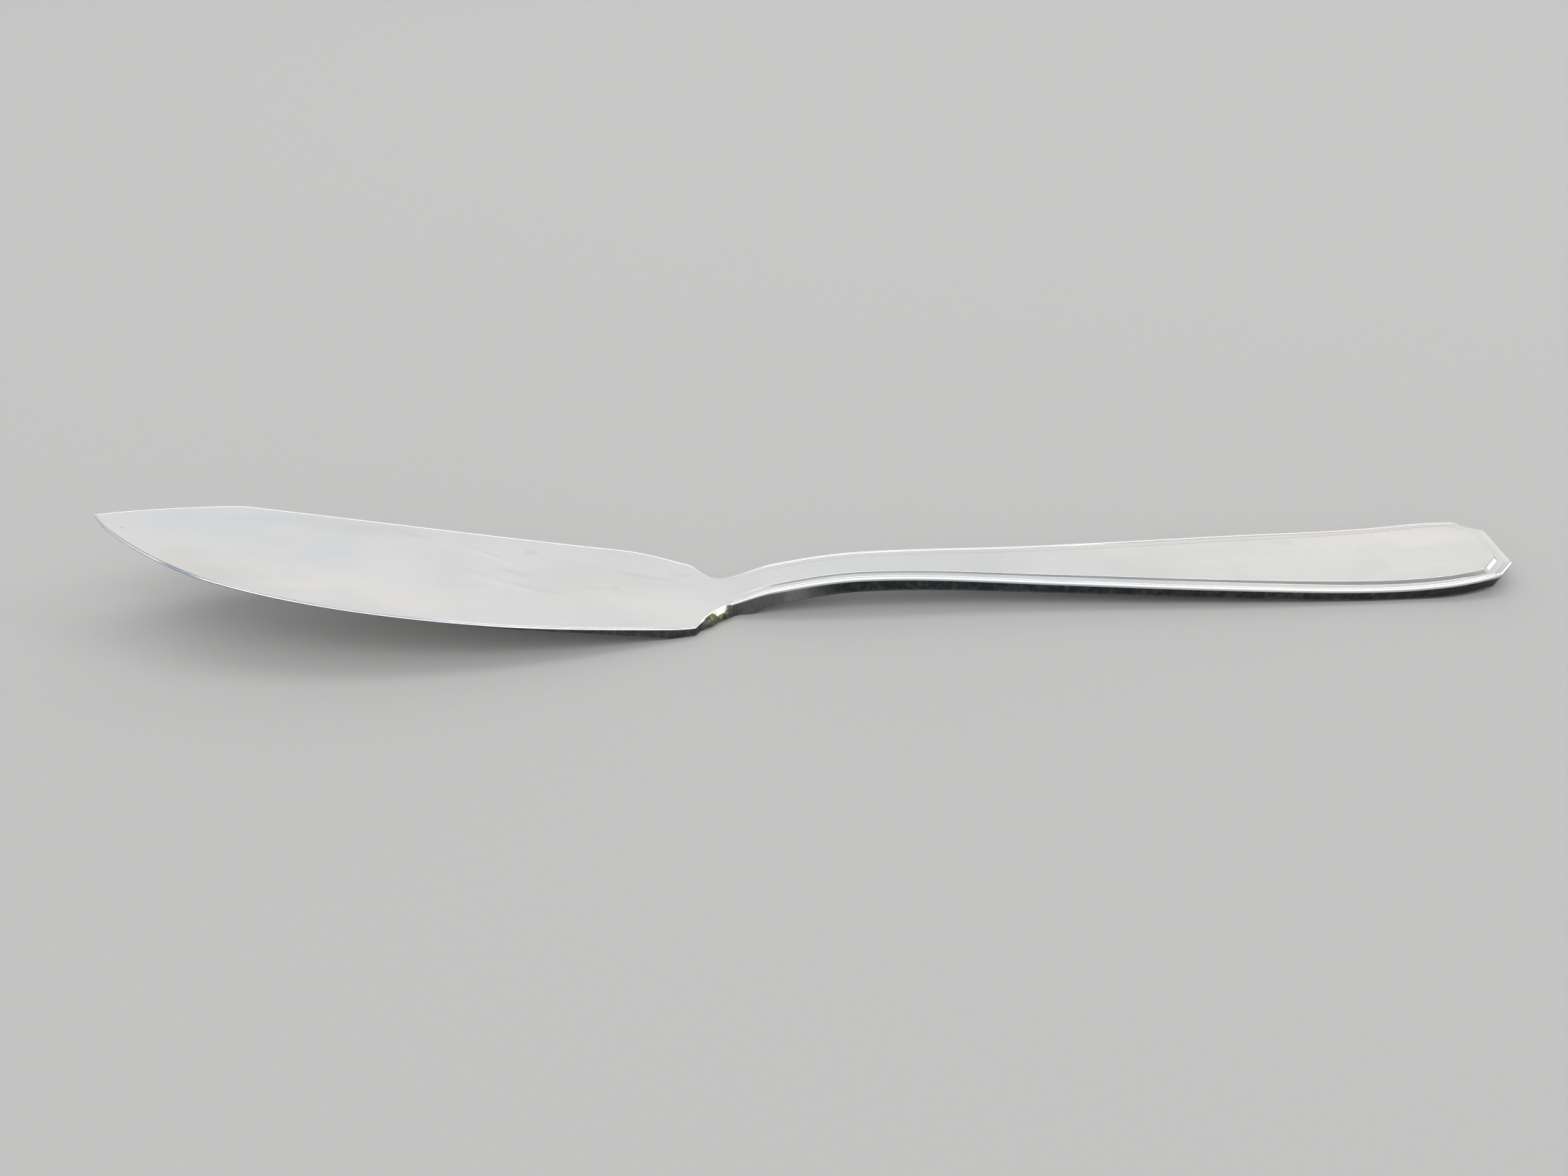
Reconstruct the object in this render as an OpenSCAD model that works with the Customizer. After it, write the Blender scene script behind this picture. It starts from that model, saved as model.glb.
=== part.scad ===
// Fish knife: a flat blade with a clipped point, and a cranked handle with a stepped and threaded border.
// Lengths are measured from the joint between blade and handle: the blade runs to -X, the handle to +X.
// The cutting edge is on the -Y side and the spine on the +Y side. Heights rise from the table.

/* [Blade outline] */
// Length of the blade, from its tip to the joint
blade_l = 86.8; // [75:0.2:100]
// Distance of the tip from the centre line, towards the spine
tip_off = 7.3; // [5:0.1:9]
// Width of the blunted tip
tip_w = 0.45; // [0.2:0.05:1]
// Length of the clipped edge, from the tip to the peak of the spine
clip_l = 18.5; // [12:0.1:26]
// Distance of the peak of the spine from the centre line
peak_off = 12.78; // [11.5:0.02:15]
// Distance of the cutting edge from the centre line where its front curve ends
front_off = 5.15; // [4:0.05:6]
// Length of that front curve, from the tip
front_l = 17.8; // [15:0.1:22]
// Distance of the lowest point of the cutting edge from the centre line
belly_off = 10.12; // [8.5:0.02:12]
// Distance of the lowest point of the cutting edge from the joint
belly_l = 33; // [25:0.5:42]
// Distance of the spine from the centre line where the shoulder starts
shoulder_off = 10.15; // [9:0.05:11]
// Distance from the joint where the shoulder starts
shoulder_l = 15; // [11:0.1:20]
// Distance of the notch corner from the centre line
notch_off = 7.9; // [6.5:0.1:8.6]
// Distance of the notch corner from the joint
notch_l = 4.6; // [3.5:0.1:7]
// Distance of the heel corner from the centre line
heel_off = 7.5; // [6:0.1:8.5]
// Distance of the heel corner from the joint
heel_l = 4.3; // [3:0.1:7]

/* [Blade section] */
// Angle of the blade's face above the table, in degrees
blade_tilt = 9.5; // [4:0.1:14]
// Thickness of the cutting edge along the front of the blade
edge_t = 0.28; // [0.2:0.02:0.6]
// Thickness of the spine at its peak
spine_t = 0.9; // [0.7:0.05:1.5]
// Thickness of the blade at its root
root_t = 2.15; // [1.8:0.05:2.5]
// Length over which the cutting edge thickens towards the root
edge_run = 44; // [30:1:60]
// Depth of the rounding of the blade's edges
edge_r = 0.14; // [0.08:0.01:0.25]
// Width over which the face rolls down to the cutting edge
edge_w = 0.4; // [0.2:0.02:0.6]

/* [Handle outline] */
// Length of the handle, from the joint to its flat end
handle_l = 116.9; // [100:0.5:140]
// Width of the neck
neck_w = 6.72; // [5.6:0.02:8]
// Greatest width of the handle
handle_w = 15.5; // [13:0.1:19]
// Length of the straight neck before the handle widens
neck_l = 15; // [8:0.5:25]
// Distance from the end at which the handle is widest
wide_l = 12.5; // [9:0.1:20]
// How much the sides draw in on each side between the widest place and the clipped corners
side_ease = 0.9; // [0.2:0.05:1.4]
// Size of the clipped corners along the handle
corner_x = 3.25; // [1.5:0.05:5]
// Size of the clipped corners across the handle
corner_y = 2.8; // [1.5:0.05:5]
// Extra half width of the fillet where the neck meets the blade
root_fillet = 0.35; // [0.1:0.01:0.5]
// Length of that fillet on the handle
root_fillet_l = 2; // [1:0.1:3]

/* [Side view] */
// Height of the blade's face where its tilt ends
bend_h = 1.87; // [1.6:0.01:2.1]
// Distance from the joint at which the tilt ends
bend_l = 8; // [6:0.1:11]
// Height of the face in the valley of the crank
valley_h = 1.5; // [1.3:0.01:1.8]
// Distance of the valley from the joint
valley_l = 4; // [2.5:0.1:5.5]
// Height of the face at the joint
joint_h = 1.8; // [1.5:0.01:2]
// Length of the crank's foot that lies on the table
foot_l = 3.6; // [2:0.1:5]
// Distance along the handle at which the crank is steepest
rise_l = 7; // [6:0.1:9]
// Height of the face there
rise_h = 4.12; // [3.6:0.01:5]
// Thickness there, measured upright
rise_t = 2.8; // [2.5:0.01:3.2]
// Distance of the crest of the crank from the joint
crest_l = 20; // [16:0.2:26]
// Height of the face at the crest
crest_h = 5.65; // [5:0.01:7]
// Thickness at the crest
crest_t = 2.68; // [2.2:0.01:3.2]
// Thickness of the long slope of the handle
slope_t = 2.28; // [1.8:0.01:2.7]
// Height of the face over the place where the handle rests
rest_h = 2.48; // [2.2:0.01:3]
// Length of the flat on which the handle rests
rest_l = 8; // [5:0.2:12]
// Distance of that flat from the handle's end
rest_gap = 14.5; // [11:0.1:22]
// Height of the face at the handle's end
end_h = 3.88; // [3.2:0.01:4.4]
// Thickness of the handle's end
end_t = 3.1; // [2.4:0.01:3.4]

/* [Handle border] */
// How far the sides draw in towards the underside at the handle's end
end_draft = 0.4; // [0:0.01:0.6]
// Width of the border, from the handle's side to the raised panel
border_w = 1.6; // [1.3:0.01:2]
// Depth of the border below the panel, at the neck
step_h = 0.3; // [0.15:0.01:0.45]
// Extra depth that the border gains towards the end
step_gain = 0.2; // [0:0.01:0.35]
// Length over which the border fades in from the joint
fade_l = 16; // [8:0.5:24]
// Width of the wall between border and panel
wall_w = 0.15; // [0.08:0.01:0.3]
// Radius of the rounded rim along the top of the sides
rim_r = 0.55; // [0.3:0.01:0.7]
// Radius along the bottom of the sides
base_r = 0.5; // [0.3:0.01:0.7]
// Radius of the top and bottom edges at the joint, where they are sharpest
joint_r = 0.25; // [0.15:0.01:0.3]
// Width of the thread cut between rim and border
thread_w = 0.28; // [0.1:0.01:0.4]
// Depth of that thread
thread_d = 0.12; // [0.05:0.01:0.2]

/* [Solder bead] */
// Radius of the bead's middle, which rests on the table
bead_r = 0.85; // [0.7:0.01:0.9]
// Distance of the bead's middle from the side of the neck
bead_out = 0.45; // [0.2:0.01:0.7]
// Radius of the bead's two tails
tail_r = 0.42; // [0.3:0.01:0.5]
// Reach of the tail along the neck
neck_tail_l = 2.1; // [1.5:0.1:3]
// Distance of the other tail's end from the heel corner
heel_tail_gap = 0.8; // [0.6:0.05:1.5]

/* [Hidden] */

// Angles at which the blade's curves leave and reach their ends, in degrees
clip_a = 24;
shoulder_a = -18.6;
peak_a = -2.7;
spine_a = -1.1;
notch_a = -44.5;
joint_a = -5.4;
tip_a = -67;
front_a = -19;
heel_a = 7.7;
heel_back_a = 52;
heel_joint_a = 14;

// Reaches of those curves at both ends, as shares of the distance between the ends
clip_shares = [0.29, 0.11];
spine_shares = [0.33, 0.33];
shoulder_shares = [0.25, 0.34];
notch_shares = [0.5, 0.22];
front_shares = [0.32, 0.16];
belly_shares = [0.33, 0.33];
heel_shares = [0.3, 0.3];
heel_back_shares = [0.5, 0.25];

// Places along the handle and heights of its face on the long slope, as shares of its length and of the crest
slope_shares = [[0.412, 0.757], [0.635, 0.541]];
// Width of the blade over which its underside tapers to the cutting edge, as a share
taper_share = 0.8;
// How the cutting edge gains thickness along its run
edge_power = 2.6;
// Place on the handle, as a share of its length, from which the border deepens
deepen_share = 0.59;
// Width of the border across the flat end, as a share of its width along the sides
end_border_share = 1.3;
// Part of the step's depth that the panel's edge rounds off
panel_edge_share = 0.35;
// Largest rounding, as a share of the thickness that it rounds
round_share = 0.45;

// Steps of the meshes: round an edge, across the blade's underside and along each stretch
arc_n = 4;
across_n = 6;
clip_n = 20;
spine_n = 24;
shoulder_n = 10;
root_n = 8;
crank_n = 28;
handle_n = 26;
ease_n = 8;

// Lengths that follow from the sizes above
blade_x0 = -blade_l;
peak_x = clip_l - blade_l;
front_x = front_l - blade_l;
corner_x0 = handle_l - corner_x;
wide_x = handle_l - wide_l;
rest_x1 = handle_l - rest_gap;
rest_x0 = rest_x1 - rest_l;
joint_y = neck_w/2 + root_fillet;
corner_y0 = handle_w/2 - side_ease;
clip_edge = norm([corner_x, corner_y]);
// The middle of the whole knife stands over the origin
mid_x = (handle_l - blade_l)/2;
mid_y = (max(peak_off, handle_w/2) - max(belly_off, handle_w/2))/2;

// Soft step from 0 at a to 1 at b
function ease(a, b, x) = let (u = min(max((x - a)/(b - a), 0), 1)) u*u*(3 - 2*u);

// Slope of a line through points at point i, where the first slope is given
function slope(p, i, first) =
    i == 0 ? first
    : i == len(p) - 1 ? (p[i].y - p[i - 1].y)/(p[i].x - p[i - 1].x)
    : (p[i + 1].y - p[i - 1].y)/(p[i + 1].x - p[i - 1].x);

// Height at x of the smooth line through points
function through(p, x, first) =
    let (
        i = max([for (k = [0:len(p) - 2]) if (k == 0 || x >= p[k].x) k]),
        h = p[i + 1].x - p[i].x,
        t = (x - p[i].x)/h
    )
    (2*t^3 - 3*t^2 + 1)*p[i].y + (t^3 - 2*t^2 + t)*h*slope(p, i, first)
    + (3*t^2 - 2*t^3)*p[i + 1].y + (t^3 - t^2)*h*slope(p, i + 1, first);

// Bezier curve from a to b, which leaves at angle aa and arrives at angle ab
function curve(a, b, aa, ab, shares) =
    let (d = norm(b - a))
    [a, a + shares[0]*d*[cos(aa), sin(aa)], b - shares[1]*d*[cos(ab), sin(ab)], b];
function on_curve(c, t) = (1 - t)^3*c[0] + 3*(1 - t)^2*t*c[1] + 3*(1 - t)*t^2*c[2] + t^3*c[3];
function curve_y(c, x, lo = 0, hi = 1, n = 24) =
    let (t = (lo + hi)/2, q = on_curve(c, t))
    n == 0 ? q.y : q.x < x ? curve_y(c, x, t, hi, n - 1) : curve_y(c, x, lo, t, n - 1);
// Offset at x of a chain of such curves
function chain_y(chain, x) =
    let (k = [for (i = [0:len(chain) - 1]) if (x <= chain[i][3].x || i == len(chain) - 1) i][0])
    x <= chain[0][0].x ? chain[0][0].y : curve_y(chain[k], x);

// Places from a to b in n steps, without b
function steps(a, b, n) = [for (i = [0:n - 1]) a + (b - a)*i/n];

// Side view: height of the face, from the blade's tip to the handle's end
face_points = concat(
    [[-bend_l, bend_h], [-valley_l, valley_h], [0, joint_h], [rise_l, rise_h], [crest_l, crest_h]],
    [for (s = slope_shares) [s[0]*handle_l, s[1]*crest_h]],
    [[(rest_x0 + rest_x1)/2, rest_h], [handle_l, end_h]]
);
function face_z(x) =
    x < -bend_l ? bend_h - (x + bend_l)*tan(blade_tilt) : through(face_points, x, -tan(blade_tilt));

// Side view: height of the handle's underside, flat where it meets the table
under_points = concat(
    [[foot_l, 0], [rise_l, rise_h - rise_t], [crest_l, crest_h - crest_t]],
    [for (s = slope_shares) [s[0]*handle_l, s[1]*crest_h - slope_t]],
    [[rest_x0, 0], [rest_x1, 0], [handle_l, end_h - end_t]]
);
function under_z(x) =
    x <= foot_l || (x >= rest_x0 && x <= rest_x1) ? 0 : max(0, through(under_points, x, 0));

// Plan of the blade, spine side and cutting side
spine_side = [
    curve([blade_x0, tip_off + tip_w], [peak_x, peak_off], clip_a, 0, clip_shares),
    curve([peak_x, peak_off], [-shoulder_l, shoulder_off], peak_a, spine_a, spine_shares),
    curve([-shoulder_l, shoulder_off], [-notch_l, notch_off], spine_a, shoulder_a, shoulder_shares),
    curve([-notch_l, notch_off], [0, joint_y], notch_a, joint_a, notch_shares)
];
edge_side = [
    curve([blade_x0, tip_off], [front_x, -front_off], tip_a, front_a, front_shares),
    curve([front_x, -front_off], [-belly_l, -belly_off], front_a, 0, belly_shares),
    curve([-belly_l, -belly_off], [-heel_l, -heel_off], 0, heel_a, heel_shares),
    curve([-heel_l, -heel_off], [0, -joint_y], heel_back_a, heel_joint_a, heel_back_shares)
];

// Half width of the handle
function half_w(x) =
    neck_w/2 + (handle_w - neck_w)/2*ease(neck_l, wide_x, x)
    + root_fillet*max(0, 1 - x/root_fillet_l)^2
    - side_ease*max(0, (x - wide_x)/(corner_x0 - wide_x))^2;

// Upright thickness of the blade at x, at a share v of its width from the cutting edge
function blade_t(x, v) =
    let (
        run = min(max((x + edge_run + notch_l)/edge_run, 0), 1),
        at_edge = edge_t + (root_t - edge_t)*run^edge_power,
        at_spine = spine_t + (root_t - spine_t)*min(max((x - peak_x)/(-bend_l - peak_x), 0), 1)
            - (spine_t - edge_t)/2*max(0, (peak_x - x)/clip_l)
    )
    at_edge + (at_spine - at_edge)*ease(0, taper_share, v);
function blade_under(x, v) = max(0, face_z(x) - blade_t(x, v));

// Quarter of an oval rounding, from angle a on, about a centre, w wide and h high
function quarter(cy, cz, w, h, a) =
    [for (i = [0:arc_n]) [cy + w*cos(a + 90*i/arc_n), cz + h*sin(a + 90*i/arc_n)]];

// Section of the blade at x, from the cutting edge's top round by the underside and the spine
function blade_section(x) =
    let (
        y0 = chain_y(edge_side, x),
        y1 = chain_y(spine_side, x),
        z = face_z(x),
        u0 = blade_under(x, 0),
        u1 = blade_under(x, 1),
        to_joint = ease(-notch_l, 0, x),
        r = edge_r + (joint_r - edge_r)*to_joint,
        roll = min(edge_w + (joint_r - edge_w)*to_joint, (y1 - y0)*round_share),
        r0 = min(r, (z - u0)*round_share),
        r1 = min(r, (z - u1)*round_share, (y1 - y0)*round_share)
    )
    concat(
        quarter(y0 + roll, z - r0, roll, r0, 90),
        quarter(y0 + r1, u0 + r0, r1, r0, 180),
        [for (i = [1:across_n - 1]) let (v = i/across_n) [y0 + (y1 - y0)*v, blade_under(x, v)]],
        quarter(y1 - r1, u1 + r1, r1, r1, 270),
        quarter(y1 - r1, z - r1, r1, r1, 0)
    );

// Solid through a row of closed sections that have as many points each
module loft(rows) {
    n = len(rows[0]);
    m = len(rows);
    polyhedron(
        [for (row = rows) each row],
        concat(
            [[for (k = [0:n - 1]) k]],
            [for (j = [0:m - 2]) for (k = [0:n - 1]) [j*n + k, (j + 1)*n + k, (j + 1)*n + (k + 1)%n]],
            [for (j = [0:m - 2]) for (k = [0:n - 1]) [j*n + k, (j + 1)*n + (k + 1)%n, j*n + (k + 1)%n]],
            [[for (k = [n - 1:-1:0]) (m - 1)*n + k]]
        )
    );
}

blade_stations = concat(
    steps(blade_x0, peak_x, clip_n),
    steps(peak_x, -shoulder_l, spine_n),
    steps(-shoulder_l, -max(notch_l, heel_l), shoulder_n),
    notch_l == heel_l ? [] : [-max(notch_l, heel_l)],
    steps(-min(notch_l, heel_l), 0, root_n),
    [0]
);

module blade_body() {
    loft([for (x = blade_stations) [for (q = blade_section(x)) [x, q.x, q.y]]]);
}

// Edge profile of the handle at x, from the underside to the panel: inset from the side, and height
function edge_profile(x) =
    let (
        u = under_z(x),
        f = face_z(x),
        fade = ease(0, fade_l, x),
        low_r = joint_r + (base_r - joint_r)*fade,
        top_r = joint_r + (rim_r - joint_r)*fade,
        draft = end_draft*ease(wide_x, handle_l, x),
        d = step_h*fade + step_gain*ease(deepen_share*handle_l, wide_x, x),
        b = f - d
    )
    concat(
        [for (i = [0:arc_n]) let (a = 90*i/arc_n) [draft + low_r*(1 - sin(a)), u + low_r*(1 - cos(a))]],
        [for (i = [0:arc_n]) let (a = 90*i/arc_n) [top_r*(1 - cos(a)), b - top_r*(1 - sin(a))]],
        [
            [rim_r + thread_w/2, b - thread_d*fade],
            [rim_r + thread_w, b],
            [border_w - wall_w, b],
            [border_w, f - panel_edge_share*d],
            [border_w + wall_w*panel_edge_share, f]
        ]
    );

// Place of inset d along the plan: on the straight sides, then at the two ends of the clipped corner
function side_point(x, d) = [x, half_w(x) - d];
function first_corner(d) = [corner_x0 - d*(clip_edge - corner_x)/corner_y, corner_y0 - d];
function last_corner(d) =
    let (e = d*end_border_share)
    [handle_l - e, corner_y0 - corner_y - (d*clip_edge - e*corner_y)/corner_x];

handle_stations = concat(
    steps(0, crest_l, crank_n),
    steps(crest_l, rest_x0, handle_n),
    steps(rest_x0, rest_x1, 2),
    steps(rest_x1, corner_x0 - border_w, ease_n),
    [corner_x0 - border_w]
);

// Height of profile point k at x
function profile_at(x, k) = edge_profile(x)[k];

// One side of the handle: for each station a row of points from the underside to the panel
function side_rows(s) = concat(
    [for (x = handle_stations) [for (q = edge_profile(x)) let (p = side_point(x, q[0])) [p.x, s*p.y, q[1]]]],
    [[for (k = [0:len(edge_profile(0)) - 1])
        let (p = first_corner(profile_at(corner_x0, k)[0])) [p.x, s*p.y, profile_at(p.x, k)[1]]]],
    [[for (k = [0:len(edge_profile(0)) - 1])
        let (p = last_corner(profile_at(handle_l, k)[0])) [p.x, s*p.y, profile_at(p.x, k)[1]]]]
);

module handle_body() {
    far = side_rows(1);
    m = len(far);
    n = len(far[0]);
    w = 2*m;
    // The rows run along the near side, round the end and back along the far side
    rows = concat(side_rows(-1), [for (j = [m - 1:-1:0]) far[j]]);
    polyhedron(
        [for (row = rows) each row],
        concat(
            [for (j = [0:w - 2]) for (k = [0:n - 2]) [j*n + k, (j + 1)*n + k + 1, (j + 1)*n + k]],
            [for (j = [0:w - 2]) for (k = [0:n - 2]) [j*n + k, j*n + k + 1, (j + 1)*n + k + 1]],
            [for (j = [0:m - 2]) [j*n, (j + 1)*n, (w - 2 - j)*n]],
            [for (j = [0:m - 2]) [j*n, (w - 2 - j)*n, (w - 1 - j)*n]],
            [for (j = [1:m - 1]) [(w - j)*n + n - 1, (w - j)*n - 1, (j + 1)*n - 1]],
            [for (j = [1:m - 1]) [(w - j)*n + n - 1, (j + 1)*n - 1, j*n - 1]],
            [concat([0], [for (k = [0:n - 1]) (w - 1)*n + k], [for (k = [n - 1:-1:1]) k])]
        )
    );
}

module bead_body() {
    hull() {
        translate([0, -joint_y - bead_out, bead_r]) sphere(bead_r, $fn = 24);
        translate([-heel_l + heel_tail_gap, -heel_off + heel_tail_gap, tail_r]) sphere(tail_r, $fn = 16);
        translate([neck_tail_l, -neck_w/2, tail_r]) sphere(tail_r, $fn = 16);
    }
}

// Everything stands on the table, with the middle of the knife over the origin
module placed() {
    translate([-mid_x, -mid_y, 0]) children();
}

module blade() {
    color([0.84, 0.85, 0.86]) placed() blade_body();
}

module handle() {
    color([0.8, 0.81, 0.82]) placed() handle_body();
}

module solder_bead() {
    color([0.62, 0.58, 0.4]) placed() difference() {
        bead_body();
        blade_body();
        handle_body();
    }
}

blade();
handle();
solder_bead();
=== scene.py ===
import math

import bpy
import numpy as np
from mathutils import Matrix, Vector, noise


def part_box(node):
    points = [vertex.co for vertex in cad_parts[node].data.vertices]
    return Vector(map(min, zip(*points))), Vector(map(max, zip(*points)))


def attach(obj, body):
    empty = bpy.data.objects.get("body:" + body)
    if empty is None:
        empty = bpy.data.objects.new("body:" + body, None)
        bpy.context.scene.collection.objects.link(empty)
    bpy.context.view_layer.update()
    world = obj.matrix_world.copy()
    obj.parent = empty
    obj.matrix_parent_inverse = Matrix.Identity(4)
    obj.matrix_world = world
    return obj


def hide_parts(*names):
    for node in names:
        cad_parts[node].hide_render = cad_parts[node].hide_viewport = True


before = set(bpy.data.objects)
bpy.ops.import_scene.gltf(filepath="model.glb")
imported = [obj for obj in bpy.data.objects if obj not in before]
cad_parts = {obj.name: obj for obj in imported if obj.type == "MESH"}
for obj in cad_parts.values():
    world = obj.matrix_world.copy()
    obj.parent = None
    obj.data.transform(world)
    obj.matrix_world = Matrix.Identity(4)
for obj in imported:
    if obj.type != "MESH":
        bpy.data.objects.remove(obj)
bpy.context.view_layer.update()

print("frame loaded:", sorted(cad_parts))

# Shapes are in millimetres from the joint between blade and handle until a mesh is made,
# where they are moved to their place in the frame and turned into metres.
millimetre = 0.001
bladeLow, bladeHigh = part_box("blade")
handleLow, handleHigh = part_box("handle")  # starts at the joint, half its width on each side
joint = (round(handleLow[0]/millimetre, 3), round((handleLow[1] + handleHigh[1])/2/millimetre, 3))
bladeLong = round((bladeHigh[0] - bladeLow[0])/millimetre, 3)
handleLong = round((handleHigh[0] - handleLow[0])/millimetre, 3)


# Shape helpers

def ease(start, end, x):  # 0 up to start, 1 from end on, smooth between them
    share = np.clip((np.asarray(x, float) - start)/(end - start), 0, 1)
    return share*share*(3 - 2*share)


def throughPoints(points, x, firstSlope):  # height at x on one smooth curve through the points
    px, pz = np.array(points, float).T
    slopes = np.empty(len(px))
    slopes[0] = firstSlope
    slopes[1:-1] = (pz[2:] - pz[:-2])/(px[2:] - px[:-2])
    slopes[-1] = (pz[-1] - pz[-2])/(px[-1] - px[-2])
    i = np.clip(np.searchsorted(px, x, side="right") - 1, 0, len(px) - 2)
    step = px[i + 1] - px[i]
    t = (x - px[i])/step
    return ((2*t**3 - 3*t**2 + 1)*pz[i] + (t**3 - 2*t**2 + t)*step*slopes[i]
            + (3*t**2 - 2*t**3)*pz[i + 1] + (t**3 - t**2)*step*slopes[i + 1])


def bentLine(start, end, leave, arrive, shares, count=500):  # leaves and arrives at the angles given
    a, b = np.array(start, float), np.array(end, float)
    reach = np.linalg.norm(b - a)
    toward = [np.array([math.cos(math.radians(k)), math.sin(math.radians(k))]) for k in (leave, arrive)]
    c, d = a + shares[0]*reach*toward[0], b - shares[1]*reach*toward[1]
    t = np.linspace(0, 1, count)[:, None]
    return (1 - t)**3*a + 3*(1 - t)**2*t*c + 3*(1 - t)*t**2*d + t**3*b


def offsetsAlong(lines, x):  # y at x on curves that follow each other
    points = np.vstack(lines)
    return np.interp(x, points[:, 0], points[:, 1])


def softened(x, y, reach, steps=9):  # rounds the corners of an outline a little
    moves = np.linspace(-1, 1, steps)*reach
    weights = 1 - np.abs(moves)/(reach*1.1)
    shifted = [np.interp(x + move, x, y)*weight for move, weight in zip(moves, weights)]
    return sum(shifted)/weights.sum()


def wobble(x, length, seed):  # a gentle unevenness between -1 and 1
    return np.array([noise.noise(Vector((k/length, seed, 0.37))) for k in np.atleast_1d(x)])


def quarterTurn(steps):  # sine and cosine round a quarter of a circle
    angle = np.linspace(0, math.pi/2, steps + 1)
    return np.sin(angle), np.cos(angle)


def spread(stations):  # places along a piece, with a count for each stretch
    places = [np.linspace(start, end, count, endpoint=False) for start, end, count in stations]
    return np.concatenate(places + [[stations[-1][1]]])


def lineKeeper(x):  # collects the lines that run along a piece
    lines = []

    def add(across, height, tarnishAndShade, polish):
        lines.append(np.stack([part + 0*x for part in (across, height, tarnishAndShade, polish)], -1))

    return lines, add


def quads(grid):  # faces between neighbours in a grid of point numbers
    return np.stack([grid[:-1, :-1], grid[1:, :-1], grid[1:, 1:], grid[:-1, 1:]], -1).reshape(-1, 4)


def closedRings(index):  # the same grid with its first column once more at the end
    return np.concatenate([index, index[:, :1]], 1)


def placeObject(name, data):
    made = bpy.data.objects.new(name, data)
    bpy.context.scene.collection.objects.link(made)
    return made


def meshFrom(name, points, faces, values, material, sharpFrom=32):  # sharp from that many degrees
    placed = (np.asarray(points, float) + [joint[0], joint[1], 0])*millimetre
    mesh = bpy.data.meshes.new(name)
    mesh.from_pydata(placed.tolist(), [], faces)
    mesh.validate()
    for key, amounts in values.items():
        layer = mesh.attributes.new(key, "FLOAT", "POINT")
        layer.data.foreach_set("value", np.asarray(amounts, np.float32))
    mesh.polygons.foreach_set("use_smooth", [True]*len(mesh.polygons))
    mesh.set_sharp_from_angle(angle=math.radians(sharpFrom))
    mesh.materials.append(material)
    return placeObject(name, mesh)


# Shader helpers

class Wire:  # a socket that can be used in sums
    def __init__(self, paint, socket):
        self.paint, self.socket = paint, socket

    def __add__(self, other):
        return self.paint.math("ADD", self, other)

    def __radd__(self, other):
        return self.paint.math("ADD", other, self)

    def __sub__(self, other):
        return self.paint.math("SUBTRACT", self, other)

    def __rsub__(self, other):
        return self.paint.math("SUBTRACT", other, self)

    def __mul__(self, other):
        return self.paint.math("MULTIPLY", self, other)

    def __rmul__(self, other):
        return self.paint.math("MULTIPLY", other, self)

    def __abs__(self):
        return self.paint.math("ABSOLUTE", self)


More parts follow.
